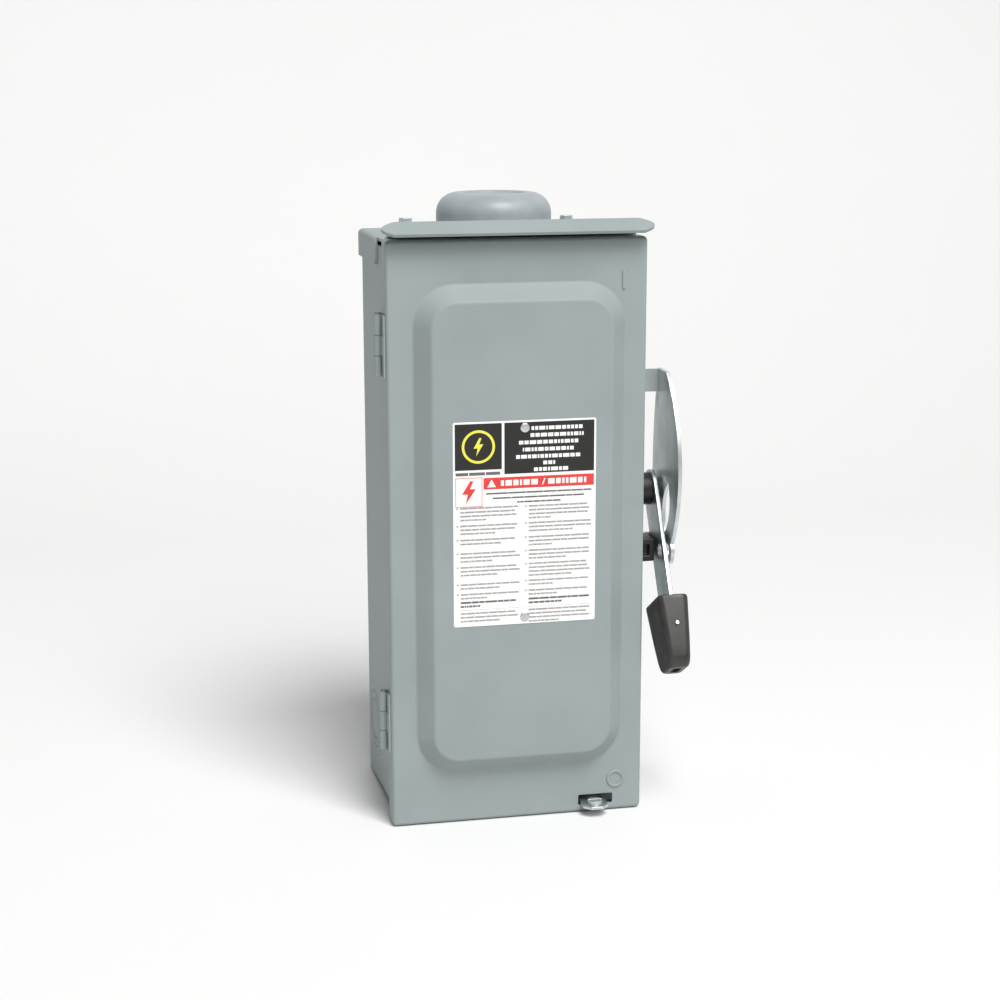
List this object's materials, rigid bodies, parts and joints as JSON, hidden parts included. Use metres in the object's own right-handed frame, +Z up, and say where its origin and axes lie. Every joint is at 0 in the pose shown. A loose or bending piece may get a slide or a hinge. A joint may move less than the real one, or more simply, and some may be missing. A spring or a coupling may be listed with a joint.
{
  "type": "fused safety switch box",
  "caption": "Rainproof wall box with a hinged pan cover, drip hood and side lever that swings switch blades above cartridge fuses.",
  "frame": {"origin": "centre of the back mounting face, halfway across the box and halfway up its back wall", "axes": "+X to the right seen from the front, +Y back into the wall, +Z up"},
  "size_m": [0.1966, 0.1349, 0.3915],
  "materials": {
    "painted_steel": "satin powder coat",
    "cast_hub": "satin",
    "gasket": "matte",
    "zinc_plate": "zinc plated",
    "bright_steel": "plain",
    "black_moulding": "moulded",
    "grip_moulding": "moulded",
    "red_moulding": "moulded",
    "fibre_sheet": "sheet",
    "copper": "tin-flashed copper",
    "lug_aluminium": "extruded",
    "fuse_paper": "fibre tube",
    "label_film": "printed film"
  },
  "bodies": {
    "box": {"body_shell": "painted_steel", "body_bottom": "painted_steel", "body_ledge": "painted_steel", "top_hood": "painted_steel", "side_knockouts": "painted_steel", "bottom_knockouts": "painted_steel", "body_hinge_leaves": "painted_steel", "hub_cap": "cast_hub", "hub_gasket": "gasket", "hub_screws": "zinc_plate", "handle_guard": "zinc_plate", "guard_rivets": "zinc_plate", "cover_hasp": "zinc_plate", "hasp_screw": "zinc_plate", "base_screws": "zinc_plate", "mechanism_frame": "zinc_plate", "hinge_pins": "bright_steel", "line_lug_screws": "bright_steel", "load_lug_screws": "bright_steel", "blade_pivot_rivets": "bright_steel", "neutral_screws": "bright_steel", "ground_screws": "bright_steel", "mechanism_screws": "bright_steel", "toggle_spring": "bright_steel", "lever_stop_block": "black_moulding", "switch_base": "black_moulding", "neutral_insulator": "black_moulding", "shaft_bushing": "black_moulding", "line_shield": "fibre_sheet", "line_jaws": "copper", "blade_hinge_clips": "copper", "upper_fuse_clips": "copper", "lower_fuse_clips": "copper", "line_lugs": "lug_aluminium", "load_lugs": "lug_aluminium", "neutral_bar": "lug_aluminium", "ground_bar": "lug_aluminium"},
    "cover": {"cover": "painted_steel", "cover_hinge_leaves": "painted_steel", "cover_catch": "zinc_plate", "cover_label": "label_film", "label_rivets": "zinc_plate"},
    "handle": {"handle_lever": "zinc_plate", "lever_hub": "black_moulding", "handle_grip": "grip_moulding", "grip_screw": "zinc_plate", "handle_shaft": "bright_steel", "crank": "zinc_plate", "interlock_hook": "zinc_plate"},
    "crossbar": {"crossbar": "red_moulding", "switch_blades": "copper"},
    "left_fuse": {"left_fuse_tube": "fuse_paper", "left_fuse_caps": "copper"},
    "right_fuse": {"right_fuse_tube": "fuse_paper", "right_fuse_caps": "copper"}
  },
  "joints": [
    {"name": "cover_hinge", "type": "hinge", "parent": "box", "child": "cover", "pos_m": [-0.084, -0.1015, 0], "axis": [0, 0, -1], "range_deg": [0, 120]},
    {"name": "handle_turn", "type": "hinge", "parent": "box", "child": "handle", "pos_m": [0, -0.064, 0.016], "axis": [-1, 0, 0], "range_deg": [0, 116]},
    {"name": "crossbar_turn", "type": "hinge", "parent": "box", "child": "crossbar", "pos_m": [0, -0.064, 0.016], "axis": [-1, 0, 0], "range_deg": [0, 50]},
    {"name": "left_fuse_pull", "type": "slide", "parent": "box", "child": "left_fuse", "axis": [0, -1, 0], "range_m": [0, 0.032]},
    {"name": "right_fuse_pull", "type": "slide", "parent": "box", "child": "right_fuse", "axis": [0, -1, 0], "range_m": [0, 0.032]}
  ],
  "couplings": [
    {"joint": "crossbar_turn", "follows": "handle_turn", "ratio": 0.43103}
  ]
}
